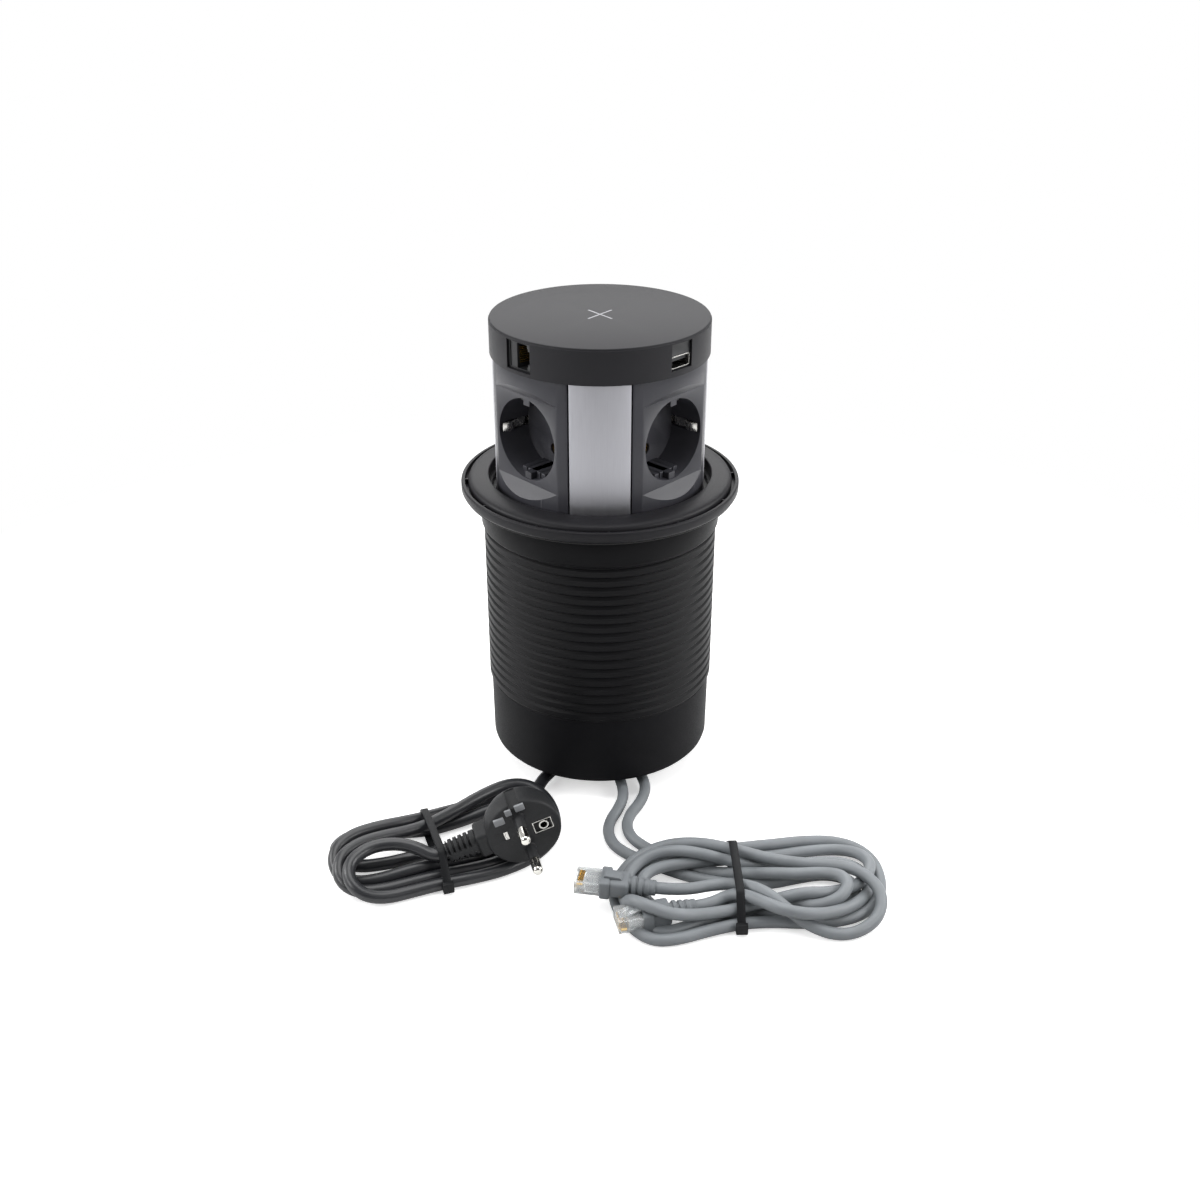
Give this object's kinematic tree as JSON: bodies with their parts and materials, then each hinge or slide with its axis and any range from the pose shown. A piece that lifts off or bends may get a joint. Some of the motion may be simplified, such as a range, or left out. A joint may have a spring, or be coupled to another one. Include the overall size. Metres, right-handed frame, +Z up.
{
  "type": "pop-up desk power module",
  "caption": "Round power tower that slides up out of a ribbed in-desk housing, with mains sockets, network jacks, USB ports, a charging pad, a mains lead and two network leads in tied hanks.",
  "frame": {"origin": "on the axis, at the underside of the foot that the unit stands on", "axes": "+Z up along the axis of the tower, -Y towards the front aluminium strip, between the two front sockets"},
  "size_m": [0.2614, 0.236, 0.238],
  "materials": {
    "housing_black": "moulded, fine grain",
    "collar_black": "moulded, semi gloss",
    "trim_black": "fine spark-eroded grain",
    "socket_black": "moulded satin",
    "port_black": "moulded",
    "strip_aluminium": "brushed and anodised",
    "contact_steel": "bright strip",
    "contact_brass": "bright",
    "pin_nickel": "nickel plated",
    "screw_steel": "zinc plated",
    "seal_rubber": "moulded",
    "coil_copper": "enamelled wire",
    "board_green": "solder mask",
    "mark_grey": "printed",
    "lead_black": "extruded, satin",
    "lead_grey": "extruded, satin",
    "plug_black": "moulded",
    "boot_grey": "moulded",
    "plug_clear": "clear polycarbonate",
    "tie_black": "moulded"
  },
  "bodies": {
    "housing": {"cable_outlet": "housing_black", "mains_gland": "seal_rubber", "network_gland_1": "seal_rubber", "network_gland_2": "seal_rubber", "base_cup": "housing_black", "base_screws": "screw_steel", "outer_sleeve": "housing_black", "clamp_collar": "collar_black", "seal_ring": "seal_rubber", "mounting_flange": "trim_black", "bezel_ring": "trim_black", "inner_lead": "lead_black", "network_cord_1": "lead_grey", "network_plug_1": "plug_clear", "network_boot_1": "boot_grey", "network_cord_2": "lead_grey", "network_plug_2": "plug_clear", "network_boot_2": "boot_grey", "mains_cord": "lead_black", "mains_hank": "lead_black", "mains_plug": "plug_black", "mains_pins": "pin_nickel", "mains_relief": "plug_black", "mains_tie": "tie_black", "network_hank": "lead_grey", "network_tie": "tie_black"},
    "tower": {"head_cap": "trim_black", "charge_mark": "mark_grey", "charging_coil": "coil_copper", "charger_board": "board_green", "head_tray": "housing_black", "core_column": "housing_black", "tower_base": "housing_black", "friction_ring": "seal_rubber", "stop_ring": "housing_black", "live_contacts": "contact_brass", "strip_front": "strip_aluminium", "strip_right": "strip_aluminium", "strip_back": "strip_aluminium", "strip_left": "strip_aluminium", "socket_panel_1": "socket_black", "earth_contact_1": "contact_steel", "socket_panel_2": "socket_black", "earth_contact_2": "contact_steel", "socket_panel_3": "socket_black", "earth_contact_3": "contact_steel", "socket_panel_4": "socket_black", "earth_contact_4": "contact_steel", "network_jack_1": "port_black", "jack_contacts_1": "contact_brass", "usb_port_1": "port_black", "usb_shell_1": "contact_steel", "network_jack_2": "port_black", "jack_contacts_2": "contact_brass", "usb_port_2": "port_black", "usb_shell_2": "contact_steel"}
  },
  "joints": [
    {"name": "tower_lift", "type": "slide", "parent": "housing", "child": "tower", "axis": [0, 0, 1], "range_m": [-0.078, 0], "deforming": ["inner_lead"]}
  ]
}
